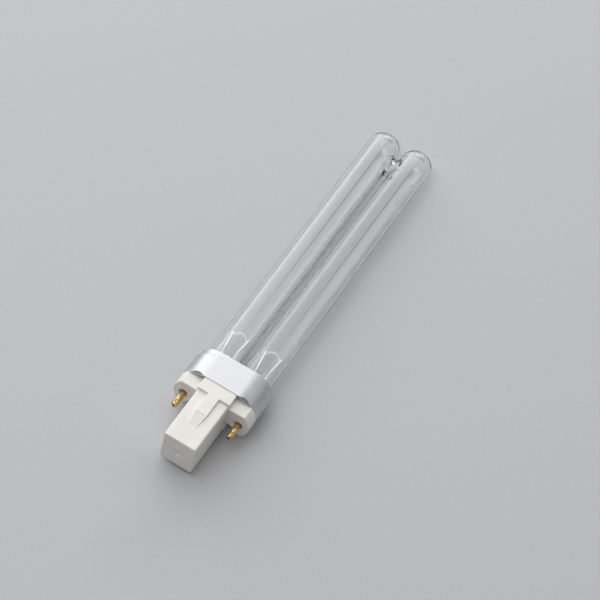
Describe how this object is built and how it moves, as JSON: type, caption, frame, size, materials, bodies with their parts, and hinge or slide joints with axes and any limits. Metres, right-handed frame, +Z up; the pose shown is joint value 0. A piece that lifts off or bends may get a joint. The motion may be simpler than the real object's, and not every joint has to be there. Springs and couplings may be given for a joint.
{
  "type": "uv germicidal lamp",
  "caption": "Compact germicidal lamp: clear bridged twin tube with visible filaments, in an aluminium sleeve on a white two-pin base with a starter post.",
  "frame": {"origin": "centre of the lamp's box, on the surface that it lies on", "axes": "+Y from the base to the tube tips, +X across the two legs, +Z up out of the surface; the lamp lies on its broad side, on the sleeve's heel and the tube tips"},
  "size_m": [0.0314, 0.1656, 0.0182],
  "materials": {
    "clear_glass": "clear and glossy",
    "tungsten": "white emitter over grey wire",
    "nickel_wire": "bright drawn wire",
    "aluminium": "satin",
    "white_plastic": "fine moulded satin",
    "brass": "bright",
    "cement": "dull and grainy",
    "bimetal": "dull",
    "capacitor_shell": "dipped"
  },
  "bodies": {
    "root": {"discharge_tube": "clear_glass", "starter_bulb": "clear_glass", "filament_left": "tungsten", "filament_right": "tungsten", "lead_left_outer": "nickel_wire", "lead_left_inner": "nickel_wire", "lead_right_inner": "nickel_wire", "lead_right_outer": "nickel_wire", "starter_electrode": "nickel_wire", "capacitor_lead_left": "nickel_wire", "capacitor_lead_right": "nickel_wire", "cap_sleeve": "aluminium", "base_housing": "white_plastic", "contact_pin_left": "brass", "contact_pin_right": "brass", "splice_left": "brass", "splice_right": "brass", "basing_cement": "cement", "starter_bimetal": "bimetal", "capacitor_body": "capacitor_shell"}
  },
  "joints": []
}
